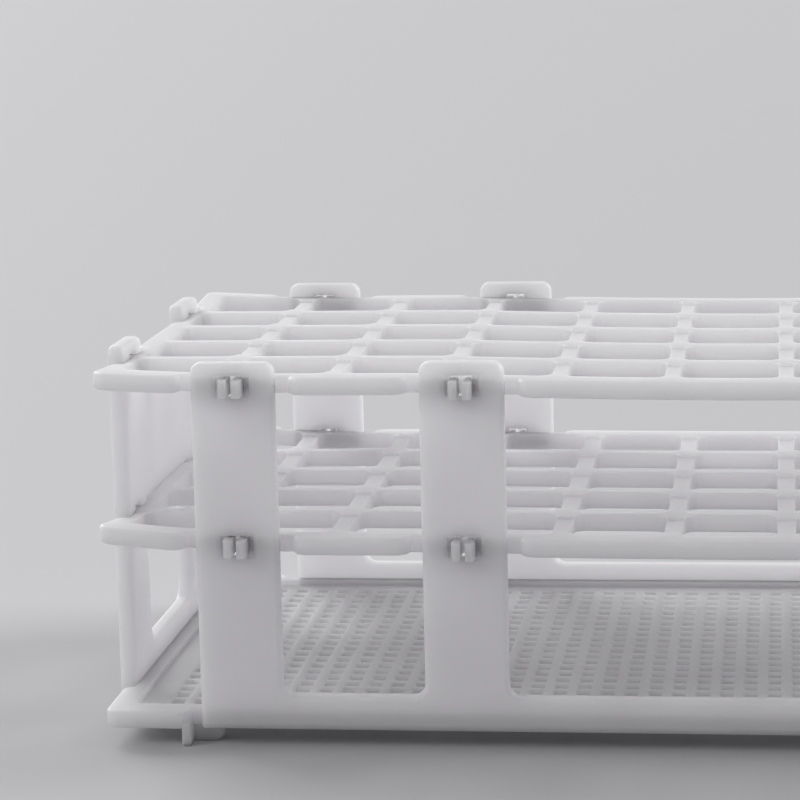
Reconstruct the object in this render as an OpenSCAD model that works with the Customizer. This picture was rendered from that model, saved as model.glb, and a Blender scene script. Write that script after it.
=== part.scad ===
// Knock-down test tube rack: three moulded tiers held in four upright panels
// by split snap nibs. X runs along the rack, Y across it, Z up. The origin is
// at the middle of the rack, on the surface that its feet stand on.

/* [Cells] */
// Number of tube cells along the rack
columns = 12; // [9:1:16]
// Number of tube cells across the rack
rows = 5; // [4:1:8]
// Distance between the centres of neighbouring cells
cell_pitch = 19.5; // [17:0.5:26]
// Width of the bars that run along the rack between rows of cells
bar_w = 2.6; // [1.6:0.1:4]
// Width of the webs that cross the top tier between columns of cells
top_web_w = 2.6; // [1.6:0.1:4]
// Width of the webs that cross the middle tier between columns of cells
middle_web_w = 3.2; // [1.6:0.1:4]
// Corner radius of a cell
cell_corner_r = 2.2; // [0.5:0.1:4]
// Depth of the webs' tops below the bars' tops
web_recess = 0.5; // [0.2:0.1:1.2]

/* [Tiers] */
// Thickness of the top and middle tiers
tier_t = 3.1; // [2:0.1:5]
// Height of the middle tier's underside above the base tray's underside
middle_tier_z = 31.3; // [20:0.1:40]
// Height of the top tier's underside above the base tray's underside
top_tier_z = 59.4; // [50:0.1:80]
// Plate beyond the cell grid at each end, up to the end panel
end_margin = 0.8; // [0.4:0.1:6]
// Plate beyond the cell grid at each side, up to the long panel
side_margin = 1.55; // [0.4:0.05:6]
// How far the tabs at the ends stop short of the end panels' faces
end_tab_recess = 1.5; // [0.2:0.1:2]
// How far the tabs at the sides stop short of the long panels' faces
side_tab_recess = 0.4; // [0.2:0.1:2]
// Corner radius of the tabs
tab_corner_r = 2.6; // [0.5:0.1:5]
// Room between a post and each side of the notch that it stands in
post_clearance = 2.2; // [0.3:0.1:4]

/* [Panels] */
// Thickness of the four panels
panel_t = 3.2; // [2.4:0.1:6]
// Width of a post
post_w = 14.6; // [11:0.2:18]
// How far the posts stand above the top tier
post_rise = 2.7; // [1.5:0.1:20]
// Corner radius at the top of a post
post_corner_r = 1.9; // [0.5:0.1:5]
// Distance from the rack's end to the centre of a long panel's outer post
outer_post_inset = 26.3; // [22:0.1:36]
// Distance from the rack's end to the centre of a long panel's inner post
inner_post_inset = 66; // [60:0.5:80]
// Distance from the rack's side to the centre of an end panel's post
end_post_inset = 26.9; // [24:0.1:34]
// Height of the long panels' lower rail
side_rail_h = 6.3; // [4:0.1:12]
// Height of the end panels' lower rail
end_rail_h = 6.8; // [4:0.1:12]
// Corner radius at the foot of the long panels' windows
window_corner_r = 2.3; // [0.5:0.1:6]
// Corner radius of the opening in an end panel
end_corner_r = 4.5; // [0.5:0.1:8]
// Chamfer along the lower outer edge of the long panels
rail_chamfer = 1; // [0.3:0.1:2]

/* [Snap nibs] */
// Width of the slit that splits a nib into two prongs
nib_slit_w = 1; // [0.4:0.1:1.6]
// Thickness of each prong
prong_t = 1.1; // [0.7:0.1:1.8]
// How far each prong's barb stands out sideways
barb_w = 0.4; // [0.2:0.1:0.8]
// How far the nibs stand out of the long panels' faces
nib_reach = 3; // [1:0.1:5]
// Clearance at each side of a nib in its slot, and behind its barbs
nib_clearance = 0.15; // [0.05:0.05:0.3]
// Room above and below a nib in its slot, so that a tier can bow
slot_play = 0.3; // [0.1:0.05:1]
// Room beside the barbs in the pocket outside each slot
pocket_room = 0.95; // [0.3:0.05:1.5]
// Depth of the pocket below a panel's face
pocket_depth = 1.1; // [0.5:0.1:1.8]

/* [Base tray] */
// Height of the tray's rim
rim_h = 3.1; // [2.6:0.1:6]
// Thickness of the tray's floor
floor_t = 2.1; // [1.2:0.1:2.4]
// Width of the rim between the long panels and the floor
side_rim_w = 2.8; // [1.5:0.1:6]
// Width of the rim between the end panels and the floor
end_rim_w = 2.8; // [1.5:0.1:6]
// Corner radius of the floor
floor_corner_r = 2.5; // [0.5:0.1:6]
// Side of the square drain holes in the floor
drain_hole = 2.1; // [1:0.1:2.8]
// Distance between the centres of neighbouring drain holes
drain_pitch = 4.25; // [4:0.05:8]
// Least width of plain floor between the drain holes and the rim
drain_margin = 3.5; // [0.5:0.1:8]

/* [Feet] */
// Height of the feet below the tray
foot_h = 3.2; // [2:0.1:8]
// Thickness of a foot's two flanges
foot_t = 1.5; // [1:0.1:3]
// Length of a foot's flange along the rack
foot_l = 7; // [5:0.1:12]
// Radius at the free end of that flange
foot_end_r = 2.2; // [0.5:0.1:3]
// How far that flange stands behind the long panel
foot_set_back = 0.9; // [0.3:0.1:2]

/* [Hidden] */
$fn = 48;
plastic = [0.88, 0.88, 0.89];

// A little past a face, for cuts that go through it
past = 1;

// The tiers' plates up to the panels, as half lengths from the middle
core_x = columns * cell_pitch / 2 + end_margin;
core_y = rows * cell_pitch / 2 + side_margin;

// The rack's outer faces, and the tabs' edges just inside them
face_x = core_x + panel_t;
face_y = core_y + panel_t;
tab_x = face_x - end_tab_recess;
tab_y = face_y - side_tab_recess;

// Post centres along one long panel, from left to right, and at the ends
side_posts = [
    -face_x + outer_post_inset, -face_x + inner_post_inset,
    face_x - inner_post_inset, face_x - outer_post_inset
];
end_post_y = face_y - end_post_inset;
end_posts = [-end_post_y, end_post_y];
panel_half_x = side_posts[3] + post_w / 2;
panel_half_y = end_post_y + post_w / 2;
notch_half = post_w / 2 + post_clearance;

// Heights above the surface that the feet stand on
middle_z = foot_h + middle_tier_z;
top_z = foot_h + top_tier_z;
post_z = top_z + tier_t + post_rise;
tier_heights = [middle_z, top_z];

// A nib's stem and barbs, and the slot and pocket that take them
stem_half = nib_slit_w / 2 + prong_t;
barb_half = stem_half + barb_w;
slot_half = stem_half + nib_clearance;
pocket_half = barb_half + pocket_room;
catch_at = panel_t - pocket_depth + nib_clearance;

// Rectangle from (x0, y0) to (x1, y1) with round corners
module rounded(x0, y0, x1, y1, r) {
    corner = min(r, (x1 - x0) / 2, (y1 - y0) / 2);
    translate([x0 + corner, y0]) square([x1 - x0 - 2 * corner, y1 - y0]);
    translate([x0, y0 + corner]) square([x1 - x0, y1 - y0 - 2 * corner]);
    for (x = [x0 + corner, x1 - corner], y = [y0 + corner, y1 - corner])
        translate([x, y]) circle(corner);
}

// Tab at the side of a tier, from x0 to x1, on both sides of the rack
module side_tabs(x0, x1) {
    for (side = [-1, 1])
        scale([1, side]) rounded(x0, 0, x1, tab_y, tab_corner_r);
}

// Outline of the plate up to the panels, with the four corner blocks outside them
module plate_outline() {
    translate([-core_x, -core_y]) square([2 * core_x, 2 * core_y]);
    for (end = [-1, 1], side = [-1, 1])
        scale([end, side])
            rounded(side_posts[3] + notch_half, end_post_y + notch_half, tab_x, tab_y, tab_corner_r);
}

// Outline of a tier: the plate, with tabs that reach out between the posts
module tier_outline() {
    plate_outline();
    for (gap = [0 : 2])
        side_tabs(side_posts[gap] + notch_half, side_posts[gap + 1] - notch_half);
    for (end = [-1, 1])
        scale([end, 1])
            rounded(0, -end_post_y + notch_half, tab_x, end_post_y - notch_half, tab_corner_r);
}

// Middle of each cell along one direction
function cell_centres(count) = [for (i = [0 : count - 1]) (i - (count - 1) / 2) * cell_pitch];

// The square cells of a tier, as one flat pattern
module cells(web_w) {
    half_x = (cell_pitch - web_w) / 2;
    half_y = (cell_pitch - bar_w) / 2;
    for (x = cell_centres(columns), y = cell_centres(rows))
        translate([x, y]) rounded(-half_x, -half_y, half_x, half_y, cell_corner_r);
}

// The low stretches of the webs, between the bars
module web_recesses(web_w) {
    half_l = (cell_pitch - bar_w) / 2 - cell_corner_r;
    webs = [for (i = [1 : columns - 1]) (i - columns / 2) * cell_pitch];
    for (x = webs, y = cell_centres(rows))
        translate([x - web_w / 2 - past / 10, y - half_l, tier_t - web_recess])
            cube([web_w + past / 5, 2 * half_l, web_recess + past]);
}

// Split snap nib along +X from its root at the origin, with tier_t as its height.
// Its barbs catch behind the slot, and it ends at the given length.
module snap_nib(length) {
    taper = min(barb_w + prong_t / 2, (length - catch_at) / 2);
    linear_extrude(tier_t)
        for (side = [-1, 1])
            scale([1, side])
                polygon([
                    [-past, nib_slit_w / 2], [length, nib_slit_w / 2],
                    [length, barb_half - taper / 2], [length - taper, barb_half],
                    [catch_at, barb_half], [catch_at, stem_half], [-past, stem_half]
                ]);
}

// All the nibs of one tier
module tier_nibs() {
    for (x = side_posts, side = [-1, 1])
        translate([x, side * core_y]) rotate([0, 0, side * 90]) snap_nib(panel_t + nib_reach);
    for (y = end_posts, end = [-1, 1])
        translate([end * core_x, y]) rotate([0, 0, 90 - end * 90]) snap_nib(panel_t);
}

// Tier with its underside at height z and webs of the given width
module tier(z, web_w) {
    translate([0, 0, z]) {
        difference() {
            linear_extrude(tier_t) difference() {
                tier_outline();
                cells(web_w);
            }
            web_recesses(web_w);
        }
        tier_nibs();
    }
}

// Slots for the nibs of both tiers in a post centred at u, cut through a panel
// whose outer face lies at height panel_t, with a wider pocket in that face
module nib_slots(u) {
    slot_h = tier_t + 2 * slot_play;
    for (z = tier_heights) {
        translate([u - slot_half, z - slot_play, -past])
            cube([2 * slot_half, slot_h, panel_t + 2 * past]);
        translate([u - pocket_half, z - slot_play, panel_t - pocket_depth])
            cube([2 * pocket_half, slot_h, pocket_depth + past]);
    }
}

// Long panel, lying with its inner face down: X along the rail, Y up the posts
module side_panel_flat() {
    fillet_top = foot_h + side_rail_h + window_corner_r;
    difference() {
        linear_extrude(panel_t) {
            difference() {
                translate([-panel_half_x, foot_h]) square([2 * panel_half_x, fillet_top - foot_h]);
                for (gap = [0 : 2])
                    rounded(side_posts[gap] + post_w / 2, foot_h + side_rail_h,
                            side_posts[gap + 1] - post_w / 2, post_z, window_corner_r);
            }
            for (x = side_posts) {
                rounded(x - post_w / 2, foot_h + side_rail_h, x + post_w / 2, post_z, post_corner_r);
                translate([x - post_w / 2, foot_h]) square([post_w, fillet_top - foot_h]);
            }
        }
        for (x = side_posts) nib_slots(x);
        rotate([90, 0, 90]) linear_extrude(2 * panel_half_x + 2 * past, center = true)
            polygon([
                [foot_h, panel_t - rail_chamfer], [foot_h + rail_chamfer, panel_t],
                [foot_h + rail_chamfer, panel_t + past], [foot_h - past, panel_t + past],
                [foot_h - past, panel_t - rail_chamfer]
            ]);
    }
}

// End panel, lying with its inner face down: X along the rail, Y up the posts
module end_panel_flat() {
    opening_half = end_post_y - post_w / 2;
    fillet_top = foot_h + end_rail_h + end_corner_r;
    web_bottom = middle_z + tier_t;
    difference() {
        linear_extrude(panel_t) {
            difference() {
                translate([-panel_half_y, foot_h]) square([2 * panel_half_y, top_z - foot_h]);
                rounded(-opening_half, foot_h + end_rail_h, opening_half, web_bottom, end_corner_r);
                translate([-opening_half, fillet_top])
                    square([2 * opening_half, web_bottom - fillet_top]);
            }
            for (y = end_posts)
                rounded(y - post_w / 2, top_z - 2 * post_corner_r, y + post_w / 2, post_z, post_corner_r);
        }
        for (y = end_posts) nib_slots(y);
    }
}

module front_panel() {
    color(plastic) translate([0, -core_y, 0]) rotate([90, 0, 0]) side_panel_flat();
}

module rear_panel() {
    color(plastic) rotate([0, 0, 180]) translate([0, -core_y, 0]) rotate([90, 0, 0]) side_panel_flat();
}

module right_end_panel() {
    color(plastic) translate([core_x, 0, 0]) rotate([90, 0, 90]) end_panel_flat();
}

module left_end_panel() {
    color(plastic) rotate([0, 0, 180]) translate([core_x, 0, 0]) rotate([90, 0, 90]) end_panel_flat();
}

module top_tier() {
    color(plastic) tier(top_z, top_web_w);
}

module middle_tier() {
    color(plastic) tier(middle_z, middle_web_w);
}

// L-shaped foot under the corner block where X and Y are both positive
module foot() {
    notch_x = side_posts[3] + notch_half;
    flange_y = core_y - foot_set_back - foot_t;
    translate([notch_x, flange_y, 0]) cube([foot_t, tab_y - flange_y, foot_h + past]);
    translate([notch_x + foot_t, flange_y + foot_t, 0]) rotate([90, 0, 0])
        linear_extrude(foot_t) {
            translate([-foot_l, foot_end_r]) square([foot_l, foot_h + past - foot_end_r]);
            translate([foot_end_r - foot_l, 0]) square([foot_l - foot_end_r, foot_h + past]);
            translate([foot_end_r - foot_l, foot_end_r]) circle(foot_end_r);
        }
}

// Places of the drain holes along one direction of the floor, from its half length
function drain_places(half) =
    let (count = floor((2 * (half - drain_margin) - drain_hole) / drain_pitch) + 1)
    [for (i = [0 : count - 1]) (i - (count - 1) / 2) * drain_pitch];

module base_tray() {
    floor_x = core_x - end_rim_w;
    floor_y = core_y - side_rim_w;
    color(plastic) {
        translate([0, 0, foot_h]) linear_extrude(floor_t) difference() {
            plate_outline();
            for (x = drain_places(floor_x), y = drain_places(floor_y))
                translate([x, y]) square(drain_hole, center = true);
        }
        translate([0, 0, foot_h + floor_t]) linear_extrude(rim_h - floor_t) difference() {
            plate_outline();
            rounded(-floor_x, -floor_y, floor_x, floor_y, floor_corner_r);
        }
        for (end = [-1, 1], side = [-1, 1]) scale([end, side, 1]) foot();
    }
}

front_panel();
rear_panel();
left_end_panel();
right_end_panel();
top_tier();
middle_tier();
base_tray();
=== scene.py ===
"""Finished look of a snap-together test tube rack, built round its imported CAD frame.

Every length is in metres, in the frame's own axes: X along the rack, Y across it,
Z up from the bench that its feet stand on.
"""

import math

import bmesh
import bpy
from bpy.props import (
    FloatProperty,
    FloatVectorProperty,
    IntProperty,
    PointerProperty,
    StringProperty,
)
from mathutils import Matrix, Vector


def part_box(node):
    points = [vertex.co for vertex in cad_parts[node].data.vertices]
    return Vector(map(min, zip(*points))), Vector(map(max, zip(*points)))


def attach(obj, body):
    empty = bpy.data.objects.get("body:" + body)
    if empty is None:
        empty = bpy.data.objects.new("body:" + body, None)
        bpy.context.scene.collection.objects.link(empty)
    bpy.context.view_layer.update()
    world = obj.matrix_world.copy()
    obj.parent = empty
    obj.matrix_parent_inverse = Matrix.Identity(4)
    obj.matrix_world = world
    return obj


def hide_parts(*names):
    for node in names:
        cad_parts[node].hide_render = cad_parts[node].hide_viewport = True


bl_info = {
    "name": "Test tube rack",
    "version": (1, 0, 0),
    "blender": (4, 5, 0),
    "location": "View3D > Sidebar > Rack",
    "description": "Builds the moulded pieces of a snap-together test tube rack and its stage",
    "category": "Add Mesh",
}

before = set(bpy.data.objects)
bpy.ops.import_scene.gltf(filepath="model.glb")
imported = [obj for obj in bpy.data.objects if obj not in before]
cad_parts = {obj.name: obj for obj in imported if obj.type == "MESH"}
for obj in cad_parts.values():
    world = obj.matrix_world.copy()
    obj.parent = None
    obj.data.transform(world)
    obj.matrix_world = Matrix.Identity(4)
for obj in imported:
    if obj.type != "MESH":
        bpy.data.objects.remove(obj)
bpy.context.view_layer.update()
MM = 0.001

PANELS = ("front_panel", "rear_panel", "left_end_panel", "right_end_panel")
TIERS = ("middle_tier", "top_tier")
TRAY = "base_tray"

FLAT = math.radians(0.5)  # two faces that turn less than this lie in one plane
SHARP = math.radians(30)  # an edge that turns more than this is rounded where it stands out
CREASE = math.radians(50)  # an inner edge that turns more than this is shaded as a crease
SAME = 0.002 * MM  # two coordinates nearer than this are the same
NEAR = 0.004 * MM  # two vertices, or a vertex and a cut, nearer than this are joined
SLIVER = 0.003 * MM  # what the rounding leaves narrower than this is closed up
CROWDED = 0.45  # the part of its radius that an edge keeps where another lies close by
NIB_HALF = 3 * MM  # half the width of a split nib, with room
SLOT_HALF = 3.4 * MM  # half the width of a slot's pocket, with room
SLOT_RISE = 2.6 * MM  # half the height of a slot's pocket, with room
ROOM_LIGHT = 0.27  # how strongly the room lights the rack
ROOM_SEEN = 0.65  # how strongly the room shows to the eye, straight or in a gloss
BENCH_HALF = 12.0  # half the bench's width, so that its edge is never near


# ---------------------------------------------------------------- sizes and colours


class RackForm(bpy.types.PropertyGroup):
    panel_round: FloatProperty(
        name="Panel edge radius", description="Radius of the panels' outer edges",
        default=0.9 * MM, min=0.1 * MM, max=1.2 * MM, unit="LENGTH", subtype="DISTANCE")
    tier_round: FloatProperty(
        name="Tier edge radius", description="Radius of the tiers' outer edges",
        default=0.7 * MM, min=0.1 * MM, max=0.9 * MM, unit="LENGTH", subtype="DISTANCE")
    cell_round: FloatProperty(
        name="Cell edge radius", description="Radius of the edges of the tiers' cells",
        default=0.24 * MM, min=0.05 * MM, max=0.25 * MM, unit="LENGTH", subtype="DISTANCE")
    tray_round: FloatProperty(
        name="Tray edge radius", description="Radius of the edges of the base tray and its feet",
        default=0.4 * MM, min=0.05 * MM, max=0.5 * MM, unit="LENGTH", subtype="DISTANCE")
    nib_round: FloatProperty(
        name="Nib edge radius", description="Radius of the edges of the snap nibs and their slots",
        default=0.13 * MM, min=0.02 * MM, max=0.2 * MM, unit="LENGTH", subtype="DISTANCE")
    tier_sag: FloatVectorProperty(
        name="Tier sag", description="How far the middles of the middle and top tiers hang down",
        size=2, default=(0.5 * MM, 1.1 * MM), min=0.0, max=1.2 * MM, unit="LENGTH")
    corner_lift: FloatVectorProperty(
        name="Corner lift", description="How far the corners of the middle and top tiers curl up",
        size=2, default=(2.2 * MM, 1.2 * MM), min=0.0, max=2.5 * MM, unit="LENGTH")
    drain_lip: FloatProperty(
        name="Drain hole lip", description="Radius of the lips of the drain holes",
        default=0.55 * MM, min=0.05 * MM, max=0.8 * MM, unit="LENGTH", subtype="DISTANCE")
    round_steps: IntProperty(
        name="Rounding steps", description="Faces across each rounded edge",
        default=3, min=1, max=5)


class RackFinish(bpy.types.PropertyGroup):
    plastic: StringProperty(
        name="Plastic", description="Colour of the natural white polypropylene", default="#EBE9EC")
    haze: StringProperty(
        name="Haze", description="Colour of the plastic where it is a little denser",
        default="#E2E0E4")
    bench: StringProperty(
        name="Bench", description="Colour of the floor that the rack stands on", default="#D2D2D4")


class RackStage(bpy.types.PropertyGroup):
    camera_at: FloatVectorProperty(
        name="Camera", description="Where the camera stands",
        default=(-0.00025, -0.53831, 0.14512), subtype="XYZ", unit="LENGTH")
    camera_turn: FloatVectorProperty(
        name="Camera turn", description="Tilt down, turn to the left and roll of the camera",
        default=(0.1684, 0.1336, -0.0249), subtype="EULER", unit="ROTATION")
    lens: FloatProperty(
        name="Lens", description="Focal length in millimetres on a 36 mm sensor",
        default=130.79, min=20)


# ---------------------------------------------------------------- materials


def linear(hex_colour):
    """An sRGB hex colour as linear RGBA."""
    parts = [int(hex_colour[i : i + 2], 16) / 255 for i in (1, 3, 5)]
    return (*(c / 12.92 if c <= 0.04045 else ((c + 0.055) / 1.055) ** 2.4 for c in parts), 1.0)


def add(tree, kind, settings=None, links=None):
    """Adds a node, sets its properties and inputs, and links outputs into its inputs."""
    made = tree.nodes.new(kind)
    for name, value in (settings or {}).items():
        if isinstance(name, str) and hasattr(made, name) and name not in made.inputs:
            setattr(made, name, value)
        else:
            made.inputs[name].default_value = value
    for name, source in (links or {}).items():
        tree.links.new(source, made.inputs[name])
    return made


def new_material(name):
    """An empty node material, with its output node."""
    material = bpy.data.materials.new(name)
    material.use_nodes = True
    tree = material.node_tree
    tree.nodes.clear()
    return material, tree, add(tree, "ShaderNodeOutputMaterial")


def moulded_polypropylene(finish):
    """Natural polypropylene, injection moulded in a lightly blasted steel tool.

    Unpigmented, so thin walls pass and scatter light and go milky; the blasted tool
    leaves a satin skin with soft, broad highlights and a very fine pebble, and handling
    adds faint scuffs that are a little duller.
    """
    material, tree, output = new_material("moulded_polypropylene")
    place = add(tree, "ShaderNodeTexCoord").outputs["Object"]
    # slow clouding of the melt, some 25 mm across
    cloud = add(tree, "ShaderNodeTexNoise", {"Scale": 1 / (25 * MM), "Detail": 3.0},
                {"Vector": place})
    colour = add(tree, "ShaderNodeMix", {"data_type": "RGBA"}, {"Factor": cloud.outputs["Fac"]})
    colour.inputs["A"].default_value = linear(finish.plastic)
    colour.inputs["B"].default_value = linear(finish.haze)
    # scuffs about 1 mm wide and 8 mm long, along the rack
    stretch = add(tree, "ShaderNodeMapping", {"Scale": (0.15, 1.0, 1.0)}, {"Vector": place})
    scuff = add(tree, "ShaderNodeTexNoise", {"Scale": 1 / (1.2 * MM), "Detail": 4.0},
                {"Vector": stretch.outputs["Vector"]})
    rough = add(tree, "ShaderNodeMapRange",
                {"From Min": 0.35, "From Max": 0.75, "To Min": 0.42, "To Max": 0.56},
                {"Value": scuff.outputs["Fac"]})
    # pebble of the blasted tool, drawn at 0.3 mm so that it shows
    pebble = add(tree, "ShaderNodeTexNoise", {"Scale": 1 / (0.3 * MM), "Detail": 2.0},
                 {"Vector": place})
    bump = add(tree, "ShaderNodeBump", {"Strength": 0.12, "Distance": 0.02 * MM},
               {"Height": pebble.outputs["Fac"]})
    shader = add(tree, "ShaderNodeBsdfPrincipled",
                 {"IOR": 1.49, "Subsurface Weight": 1.0, "Subsurface Radius": (1.0, 1.0, 1.0),
                  "Subsurface Scale": 14 * MM, "Specular IOR Level": 0.5},
                 {"Base Color": colour.outputs["Result"], "Roughness": rough.outputs["Result"],
                  "Normal": bump.outputs["Normal"]})
    tree.links.new(shader.outputs["BSDF"], output.inputs["Surface"])
    return material


def painted_bench(finish):
    """Matt painted board: pale, even, with a barely visible roller grain."""
    material, tree, output = new_material("painted_bench")
    place = add(tree, "ShaderNodeTexCoord").outputs["Object"]
    # roller grain, some 3 mm across
    grain = add(tree, "ShaderNodeTexNoise", {"Scale": 1 / (3 * MM), "Detail": 3.0},
                {"Vector": place})
    bump = add(tree, "ShaderNodeBump", {"Strength": 0.05, "Distance": 0.05 * MM},
               {"Height": grain.outputs["Fac"]})
    shader = add(tree, "ShaderNodeBsdfPrincipled",
                 {"Base Color": linear(finish.bench), "Roughness": 0.75},
                 {"Normal": bump.outputs["Normal"]})
    tree.links.new(shader.outputs["BSDF"], output.inputs["Surface"])
    return material


def material_named(name, make):
    """The material of that name, made on first use."""
    return bpy.data.materials.get(name) or make(bpy.context.scene.rack_finish)


# ---------------------------------------------------------------- mesh helpers


def merged_copy(node):
    """A bmesh copy of a CAD node, with its loose triangles joined."""
    bm = bmesh.new()
    bm.from_mesh(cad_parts[node].data)
    bmesh.ops.remove_doubles(bm, verts=bm.verts, dist=0.001 * MM)
    return bm


def fold(edge):
    """The angle between an edge's two faces: above zero where the edge stands out."""
    return edge.calc_face_angle_signed(0) if len(edge.link_faces) == 2 else 0.0


def is_square(edge):
    """True for an edge along X, Y or Z."""
    step = edge.verts[1].co - edge.verts[0].co
    return sum(abs(part) > SAME for part in step) == 1


def in_line(vert):
    """True for a vertex partway along one straight edge."""
    return len(vert.link_edges) == 2 and vert.calc_edge_angle(0) < FLAT


def groups_of(values, gap):
    """The values in rising order, parted where two neighbours lie the gap or more apart."""
    groups = []
    for value in sorted(values):
        if groups and value - groups[-1][-1] < gap:
            groups[-1].append(value)
        else:
            groups.append([value])
    return groups


def cut_at(bm, axis, places):
    """Cuts the mesh by planes square to an axis."""
    normal = Vector([float(i == axis) for i in range(3)])
    for place in places:
        parts = bm.verts[:] + bm.edges[:] + bm.faces[:]
        bmesh.ops.bisect_plane(bm, geom=parts, plane_co=normal * place, plane_no=normal, dist=NEAR)


def between_lines(bm, axis, least):
    """Places along an axis halfway between the piece's straight sharp edges.

    A plane there meets the edges of every opening squarely, clear of their round corners.
    """
    straight = 0.96  # an edge with less than this part of its length along the axis slants
    lines, slants = set(), []
    for edge in bm.edges:
        if abs(fold(edge)) > SHARP:
            low, high = sorted(v.co[axis] / MM for v in edge.verts)
            if high - low < SAME / MM and edge.calc_length() > least and is_square(edge):
                lines.add(round(low, 2))
            elif high - low > SAME / MM and (high - low) * MM < straight * edge.calc_length():
                slants.append((low, high))
    lines = sorted(lines)
    places = [round((low + high) / 2, 3) for low, high in zip(lines, lines[1:])
              if high - low > least / MM]
    return [place for place in places if not any(low < place < high for low, high in slants)]


def squared_up(bm, least, seams=None):
    """Divides flat faces by a few straight cuts and clears their other edges away.

    Each face is then simple, with no slanting edge that would catch the rounding. least is
    the length of the shortest edge that counts. seams holds places along X and along Y, in
    millimetres: a cut among them moves onto the nearest.
    """
    spread = [max(v.co[i] for v in bm.verts) - min(v.co[i] for v in bm.verts) for i in range(3)]
    widest = sorted(range(3), key=lambda i: -spread[i])[:2]
    cuts = {axis: between_lines(bm, axis, least) for axis in widest}
    for axis, lines in enumerate(seams or ()):
        cuts[axis] = sorted({min(lines, key=lambda line: abs(line - place))
                             if lines[0] < place < lines[-1] else place for place in cuts[axis]})
    for axis, places in cuts.items():
        cut_at(bm, axis, [place * MM for place in places])

    def is_cut(edge):
        start, end = (v.co for v in edge.verts)
        return any(abs(start[axis] - end[axis]) < SAME
                   and any(abs(start[axis] / MM - place) < NEAR / MM for place in places)
                   for axis, places in cuts.items())

    spare = [e for e in bm.edges
             if len(e.link_faces) == 2 and abs(fold(e)) < FLAT and not is_cut(e)]
    bmesh.ops.dissolve_edges(bm, edges=spare, use_verts=False)
    bmesh.ops.dissolve_verts(bm, verts=[v for v in bm.verts if in_line(v)])
    return bm


def finished_piece(bm, name, node, radius, share):
    """A piece with rounded edges that stands for a CAD node.

    share gives the part of the radius that an outer edge gets, from the edge's middle.
    """
    weights = bm.edges.layers.float.new("bevel_weight_edge")
    for edge in bm.edges:
        turn = fold(edge)
        middle = (edge.verts[0].co + edge.verts[1].co) / 2
        edge[weights] = share(middle) if turn > SHARP else 0.0
        edge.smooth = abs(turn) < CREASE or edge[weights] > 0
    for face in bm.faces:
        face.smooth = True
    mesh = bpy.data.meshes.new(name)
    bm.to_mesh(mesh)
    bm.free()
    piece = bpy.data.objects.new(name, mesh)
    bpy.context.scene.collection.objects.link(piece)
    rounding = piece.modifiers.new("Edges", "BEVEL")
    rounding.limit_method = "WEIGHT"
    rounding.width = radius
    rounding.segments = bpy.context.scene.rack_form.round_steps
    rounding.use_clamp_overlap = False
    rounding.loop_slide = False
    rounding.miter_outer = "MITER_SHARP"
    weld = piece.modifiers.new("Slivers", "WELD")
    weld.merge_threshold = SLIVER
    shading = piece.modifiers.new("Flats", "WEIGHTED_NORMAL")
    shading.keep_sharp = True
    piece.data.materials.append(material_named("moulded_polypropylene", moulded_polypropylene))
    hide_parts(node)
    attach(piece, "root")
    return piece


# ---------------------------------------------------------------- pieces


def tier_levels():
    """The middle heights of the two tiers."""
    return [(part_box(tier)[0][2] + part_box(tier)[1][2]) / 2 for tier in TIERS]


def panel_piece(node, form):
    """An upright panel. Its outline is well rounded, its foot less, and its slots only a little."""
    low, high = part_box(node)
    along = 0 if high[0] - low[0] > high[1] - low[1] else 1
    bm = squared_up(merged_copy(node), least=2.4 * MM)
    levels = tier_levels()
    slots = slot_places(bm, along, levels[0])
    slot_share = form.nib_round / form.panel_round
    foot = low.z + 1.2 * MM

    def share(at):
        beside = any(abs(at[along] - place) < SLOT_HALF for place in slots)
        level = any(abs(at.z - height) < SLOT_RISE for height in levels)
        if beside and level:
            return slot_share
        return CROWDED if at.z < foot else 1.0

    return finished_piece(bm, f"{node}_moulding", node, form.panel_round, share)


def slot_places(bm, along, height):
    """Where a panel's slots lie along it: the middles of the short walls at a tier's height."""
    short = (5 * MM) ** 2
    walls = set()
    for face in bm.faces:
        middle = face.calc_center_median()
        across = abs(middle.z - height) < 0.4 * MM and abs(face.normal[along]) > 0.9
        if across and face.calc_area() < short:
            walls.add(round(middle[along] / MM, 2))
    return [(group[0] + group[-1]) / 2 * MM for group in groups_of(walls, 6) if len(group) > 1]


def bowed(bm, sag, lift):
    """Bends a tier as a thin moulding settles: down in the middle, and up at its corners.

    The end posts hold the middles of its ends level.
    """
    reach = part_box("right_end_panel")[1][0]
    hang = 0.525 * reach  # the sag ends here
    curl = 0.71 * reach  # the corners start to rise here
    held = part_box("right_end_panel")[1][1]
    easing = 0.45 * held  # past the end posts, a corner comes free over this width
    for vert in bm.verts:
        x, y = abs(vert.co.x), abs(vert.co.y)
        free = min(max((y - held) / easing, 0), 1)
        vert.co.z -= sag * math.cos(math.pi / 2 * min(x / hang, 1))
        vert.co.z += lift * (max(x - curl, 0) / (reach - curl)) ** 2 * free * free * (3 - 2 * free)
    return bm


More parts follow.
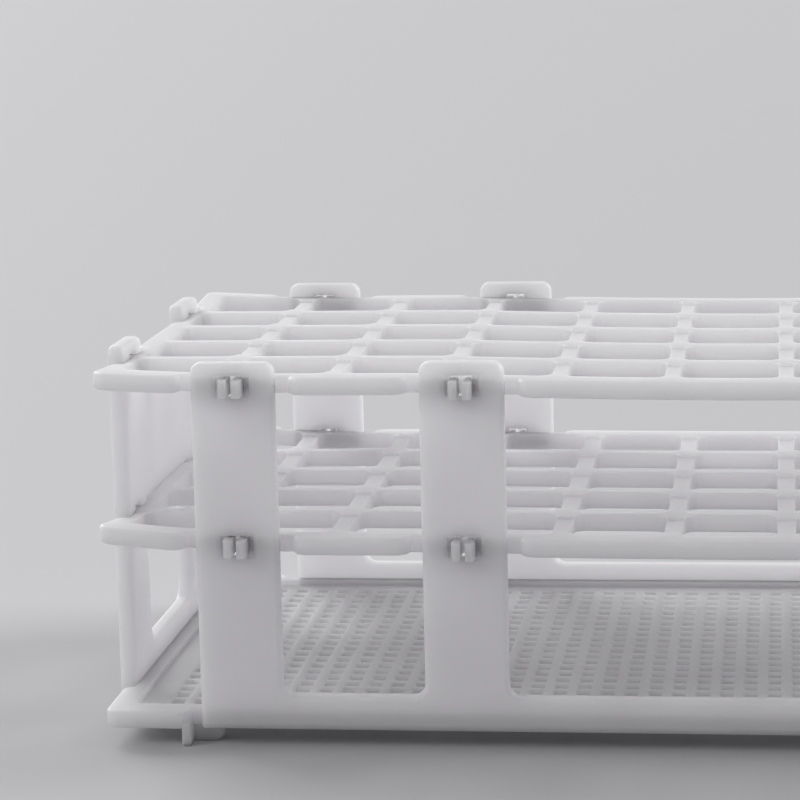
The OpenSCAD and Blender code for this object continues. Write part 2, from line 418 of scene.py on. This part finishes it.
def tier_piece(node, form):
    """A tier of cells with its nibs."""
    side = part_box("rear_panel")[0][1]
    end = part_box("right_end_panel")[0][0]
    bm = squared_up(merged_copy(node), least=5 * MM)
    side_nibs, end_nibs = nib_places(bm, 0, 1, side), nib_places(bm, 1, 0, end)
    nib_share = form.nib_round / form.tier_round
    cell_share = form.cell_round / form.tier_round
    past = 0.02 * MM  # a nib's edge lies further out of the plate's edge than this
    in_cells = (end - 0.6 * MM, side - 1 * MM)

    def share(at):
        at_side = abs(at.y) > side + past and any(abs(at.x - x) < NIB_HALF for x in side_nibs)
        at_end = abs(at.x) > end + past and any(abs(at.y - y) < NIB_HALF for y in end_nibs)
        if at_side or at_end:
            return nib_share
        return cell_share if all(abs(at[i]) < in_cells[i] for i in (0, 1)) else 1.0

    level = TIERS.index(node)
    bowed(bm, form.tier_sag[level], form.corner_lift[level])
    return finished_piece(bm, f"{node}_moulding", node, form.tier_round, share)


def nib_places(bm, along, out, wall):
    """Where a tier's nibs lie along an edge: the middles of what stands past a panel's wall."""
    through = wall + 3.15 * MM  # near the panel's outer face
    tips = {round(v.co[along] / MM, 2) for v in bm.verts if v.co[out] > through}
    return [(group[0] + group[-1]) / 2 * MM for group in groups_of(tips, 4)]


def drain_field(bm):
    """The drain holes' counts, pitch and width, and the heights of the floor's two faces."""
    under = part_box("front_panel")[0][2]
    margin, close = 3 * MM, 0.01 * MM
    reach = (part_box("right_end_panel")[0][0] - margin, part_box("rear_panel")[0][1] - margin)
    corners = [v.co for v in bm.verts if abs(v.co.z - under) < close
               and abs(v.co.x) < reach[0] and abs(v.co.y) < reach[1]]
    xs, ys = (sorted({round(corner[i] / MM, 2) for corner in corners}) for i in (0, 1))
    above = [v.co.z for v in bm.verts if (v.co.xy - corners[0].xy).length < close]
    return {"Columns": len(xs) // 2, "Rows": len(ys) // 2, "Pitch": (xs[2] - xs[0]) * MM,
            "Hole": (xs[1] - xs[0]) * MM, "Thickness": max(above) - under, "Height": max(above)}


def drain_tree(sizes):
    """A flat floor with square drain holes: one tile with rounded lips, repeated in rows."""
    tree = bpy.data.node_groups.new("drain_floor", "GeometryNodeTree")
    kinds = {int: "NodeSocketInt", float: "NodeSocketFloat"}
    for name, value in sizes.items():
        kind = kinds.get(type(value), "NodeSocketMaterial")
        tree.interface.new_socket(name, in_out="INPUT", socket_type=kind)
    tree.interface.new_socket("Floor", in_out="OUTPUT", socket_type="NodeSocketGeometry")
    given = add(tree, "NodeGroupInput").outputs
    flat = add(tree, "GeometryNodeMeshGrid", {"Vertices X": 2, "Vertices Y": 2},
               {"Size X": given["Pitch"], "Size Y": given["Pitch"]})
    tile, middle, width = flat.outputs["Mesh"], None, given["Pitch"]
    depth = add(tree, "ShaderNodeMath", {0: 0.0, 1: 0.0}).outputs["Value"]
    # the tile's middle is drawn in over the upper lip, down the hole and out over the lower lip;
    # each step says how far out it lies in lips, or None for the tile's own edge, how far down,
    # and whether it is measured from the floor's underside
    turned = 1 - math.sqrt(0.5)
    steps = ((1, 0, False), (turned, turned, False), (0, 1, False),
             (0, -1, True), (turned, -turned, True), (1, 0, True), (None, 0, True))
    for out, down, below in steps:
        next_width = given["Pitch"] if out is None else add(
            tree, "ShaderNodeMath", {"operation": "MULTIPLY_ADD", 1: 2.0 * out},
            {0: given["Lip"], 2: given["Hole"]}).outputs["Value"]
        base = {2: given["Thickness"]} if below else {}
        next_depth = add(
            tree, "ShaderNodeMath", {"operation": "MULTIPLY_ADD", 1: float(down), 2: 0.0},
            {0: given["Lip"], **base}).outputs["Value"]
        rise = add(tree, "ShaderNodeMath", {"operation": "SUBTRACT"}, {0: depth, 1: next_depth})
        ratio = add(tree, "ShaderNodeMath", {"operation": "DIVIDE"}, {0: next_width, 1: width})
        drawn = add(tree, "GeometryNodeExtrudeMesh", {"mode": "FACES"},
                    {"Mesh": tile, "Offset Scale": rise.outputs["Value"],
                     **({"Selection": middle} if middle else {})})
        middle = drawn.outputs["Top"]
        tile = add(tree, "GeometryNodeScaleElements", {"domain": "FACE"},
                   {"Geometry": drawn.outputs["Mesh"], "Selection": middle,
                    "Scale": ratio.outputs["Value"]}).outputs["Geometry"]
        width, depth = next_width, next_depth
    open_tile = add(tree, "GeometryNodeDeleteGeometry", {"domain": "FACE", "mode": "ONLY_FACE"},
                    {"Geometry": tile, "Selection": middle})
    spans = []
    for count in ("Columns", "Rows"):
        gaps = add(tree, "ShaderNodeMath", {"operation": "SUBTRACT", 1: 1.0}, {0: given[count]})
        spans.append(add(tree, "ShaderNodeMath", {"operation": "MULTIPLY"},
                         {0: gaps.outputs["Value"], 1: given["Pitch"]}).outputs["Value"])
    places = add(tree, "GeometryNodeMeshGrid", None,
                 {"Size X": spans[0], "Size Y": spans[1],
                  "Vertices X": given["Columns"], "Vertices Y": given["Rows"]})
    level = add(tree, "ShaderNodeCombineXYZ", None, {"Z": given["Height"]})
    raised = add(tree, "GeometryNodeTransform", None,
                 {"Geometry": places.outputs["Mesh"], "Translation": level.outputs["Vector"]})
    tiles = add(tree, "GeometryNodeInstanceOnPoints", None,
                {"Points": raised.outputs["Geometry"], "Instance": open_tile.outputs["Geometry"]})
    real = add(tree, "GeometryNodeRealizeInstances", None, {"Geometry": tiles.outputs["Instances"]})
    welded = add(tree, "GeometryNodeMergeByDistance", {"Distance": 0.01 * MM},
                 {"Geometry": real.outputs["Geometry"]})
    coated = add(tree, "GeometryNodeSetMaterial", None,
                 {"Geometry": welded.outputs["Geometry"], "Material": given["Material"]})
    add(tree, "NodeGroupOutput", None, {"Floor": coated.outputs["Geometry"]})
    return tree


def drain_floor(sizes):
    """The perforated floor as a plain mesh."""
    holder = bpy.data.objects.new("drain_floor", bpy.data.meshes.new("drain_floor"))
    bpy.context.scene.collection.objects.link(holder)
    laid = holder.modifiers.new("Floor", "NODES")
    laid.node_group = drain_tree(sizes)
    for socket in laid.node_group.interface.items_tree:
        if socket.in_out == "INPUT":
            laid[socket.identifier] = sizes[socket.name]
    evaluated = holder.evaluated_get(bpy.context.evaluated_depsgraph_get())
    mesh = bpy.data.meshes.new_from_object(evaluated)
    bpy.data.objects.remove(holder)
    return mesh


def split_at(bm, lines):
    """Splits the open edges at places along X and along Y, where the tiles' corners meet them."""
    clear = 0.1  # a place nearer to an edge's end than this, in millimetres, is that end
    for edge in [e for e in bm.edges if e.is_boundary]:
        start, end = edge.verts
        axis = 0 if abs(start.co.x - end.co.x) > abs(start.co.y - end.co.y) else 1
        low, high = sorted((start.co[axis] / MM, end.co[axis] / MM))
        inner = sorted(line for line in lines[axis] if low + clear < line < high - clear)
        if start.co[axis] > end.co[axis]:
            inner.reverse()
        for line in inner:
            part = (line * MM - start.co[axis]) / (end.co[axis] - start.co[axis])
            start = bmesh.utils.edge_split(edge, start, part)[1]


def tray_piece(form):
    """The base tray with its feet. Its perforated floor is laid into the rest of the tray."""
    bm = merged_copy(TRAY)
    sizes = drain_field(bm)
    pitch = sizes["Pitch"] / MM
    lines = [[(i - count / 2) * pitch for i in range(count + 1)]
             for count in (sizes["Columns"], sizes["Rows"])]
    reach = [places[-1] * MM for places in lines]
    for axis in (0, 1):
        cut_at(bm, axis, [-reach[axis], reach[axis]])
    field = [face for face in bm.faces
             if all(abs(face.calc_center_median()[i]) < reach[i] for i in (0, 1))]
    bmesh.ops.delete(bm, geom=field, context="FACES")
    squared_up(bm, least=2 * MM, seams=lines)
    split_at(bm, lines)
    plastic = material_named("moulded_polypropylene", moulded_polypropylene)
    bm.from_mesh(drain_floor({**sizes, "Lip": form.drain_lip, "Material": plastic}))
    bmesh.ops.remove_doubles(bm, verts=bm.verts, dist=NEAR)
    # a foot's corner stands a quarter of a millimetre out of the tray's round corner
    foot_x, foot_half, foot_top = 105 * MM, 4 * MM, 4.5 * MM

    def share(at):
        in_field = all(abs(at[i]) < reach[i] - 0.1 * MM for i in (0, 1))
        by_foot = at.z < foot_top and abs(abs(at.x) - foot_x) < foot_half
        return 0.0 if in_field else CROWDED if by_foot else 1.0

    return finished_piece(bm, "base_tray_moulding", TRAY, form.tray_round, share)


# ---------------------------------------------------------------- stage


def sun(name, at, strength, spread):
    """A distant lamp that shines at the rack from that side, over that many degrees."""
    lamp = bpy.data.lights.new(name, "SUN")
    lamp.energy = strength
    lamp.angle = math.radians(spread)
    made = bpy.data.objects.new(name, lamp)
    made.location = at
    made.rotation_euler = (-Vector(at)).to_track_quat("-Z", "Y").to_euler()
    bpy.context.scene.collection.objects.link(made)


def lay_bench(finish):
    """A wide flat floor at the feet's level."""
    bm = bmesh.new()
    bmesh.ops.create_grid(bm, x_segments=1, y_segments=1, size=BENCH_HALF)
    mesh = bpy.data.meshes.new("bench")
    bm.to_mesh(mesh)
    bm.free()
    bench = bpy.data.objects.new("bench", mesh)
    bench.data.materials.append(painted_bench(finish))
    bpy.context.scene.collection.objects.link(bench)


def light_room():
    """Soft studio light, even over the whole bench.

    A weak key from the front left shapes the fronts. Two broader lights stand behind,
    to the right and the left, and show how far the plastic lets light through.
    """
    sun("key", (-0.7, -0.45, 0.5), strength=0.6, spread=25)
    sun("fill", (0.85, 0.35, 0.5), strength=1.65, spread=40)
    sun("back", (-0.6, 0.75, 0.5), strength=1.45, spread=40)
    world = bpy.context.scene.world or bpy.data.worlds.new("room")
    bpy.context.scene.world = world
    world.use_nodes = True
    tree = world.node_tree
    background = tree.nodes["Background"]
    background.inputs["Color"].default_value = linear("#F4F3F6")
    # the room is paler to look at than the light it gives
    rays = add(tree, "ShaderNodeLightPath").outputs
    mirrored = add(tree, "ShaderNodeMath", {"operation": "MAXIMUM"},
                   {0: rays["Is Glossy Ray"], 1: rays["Is Transmission Ray"]})
    seen = add(tree, "ShaderNodeMath", {"operation": "MAXIMUM"},
               {0: rays["Is Camera Ray"], 1: mirrored.outputs["Value"]})
    strength = add(tree, "ShaderNodeMix",
                   {"data_type": "FLOAT", "A": ROOM_LIGHT, "B": ROOM_SEEN},
                   {"Factor": seen.outputs["Value"]})
    tree.links.new(strength.outputs["Result"], background.inputs["Strength"])


def place_camera(stage):
    """The camera, tilted down, turned and rolled from looking straight along +Y."""
    camera = bpy.data.cameras.new("camera")
    camera.lens = stage.lens
    camera.sensor_width = 36
    camera.clip_start = 0.01
    camera.clip_end = 30
    made = bpy.data.objects.new("camera", camera)
    tilt, turn, roll = stage.camera_turn
    facing = Matrix.Rotation(turn, 4, "Z") @ Matrix.Rotation(math.pi / 2 - tilt, 4, "X")
    made.matrix_world = Matrix.Translation(stage.camera_at) @ facing @ Matrix.Rotation(roll, 4, "Z")
    bpy.context.scene.collection.objects.link(made)
    bpy.context.scene.camera = made


# ---------------------------------------------------------------- operators and panel


class RACK_OT_panels(bpy.types.Operator):
    """Make the two long panels and the two end panels"""

    bl_idname = "rack.panels"
    bl_label = "Panels"

    def execute(self, context):
        for node in PANELS:
            panel_piece(node, context.scene.rack_form)
        return {"FINISHED"}


class RACK_OT_tiers(bpy.types.Operator):
    """Make the two tiers of cells"""

    bl_idname = "rack.tiers"
    bl_label = "Tiers"

    def execute(self, context):
        for node in TIERS:
            tier_piece(node, context.scene.rack_form)
        return {"FINISHED"}


class RACK_OT_tray(bpy.types.Operator):
    """Make the base tray"""

    bl_idname = "rack.tray"
    bl_label = "Base tray"

    def execute(self, context):
        tray_piece(context.scene.rack_form)
        return {"FINISHED"}


class RACK_OT_stage(bpy.types.Operator):
    """Lay the bench, light the room and place the camera"""

    bl_idname = "rack.stage"
    bl_label = "Stage"

    def execute(self, context):
        scene = context.scene
        scene.view_settings.view_transform = "Standard"
        lay_bench(scene.rack_finish)
        light_room()
        place_camera(scene.rack_stage)
        return {"FINISHED"}


class RACK_PT_sidebar(bpy.types.Panel):
    """Sizes, colours and steps of the rack"""

    bl_label = "Test tube rack"
    bl_idname = "RACK_PT_sidebar"
    bl_space_type = "VIEW_3D"
    bl_region_type = "UI"
    bl_category = "Rack"

    def draw(self, context):
        layout = self.layout
        for group in (context.scene.rack_form, context.scene.rack_finish, context.scene.rack_stage):
            for name in group.__annotations__:
                layout.prop(group, name)
        for operator in STEPS:
            layout.operator(operator.bl_idname)


GROUPS = {"rack_form": RackForm, "rack_finish": RackFinish, "rack_stage": RackStage}
STEPS = (RACK_OT_panels, RACK_OT_tiers, RACK_OT_tray, RACK_OT_stage)


def register():
    for made in (*GROUPS.values(), *STEPS, RACK_PT_sidebar):
        bpy.utils.register_class(made)
    for name, group in GROUPS.items():
        setattr(bpy.types.Scene, name, PointerProperty(type=group))


def unregister():
    for name in GROUPS:
        delattr(bpy.types.Scene, name)
    for made in (RACK_PT_sidebar, *reversed(STEPS), *GROUPS.values()):
        bpy.utils.unregister_class(made)


def main():
    register()
    bpy.ops.rack.panels()
    bpy.ops.rack.tiers()
    bpy.ops.rack.tray()
    bpy.ops.rack.stage()


if __name__ == "__main__":
    main()
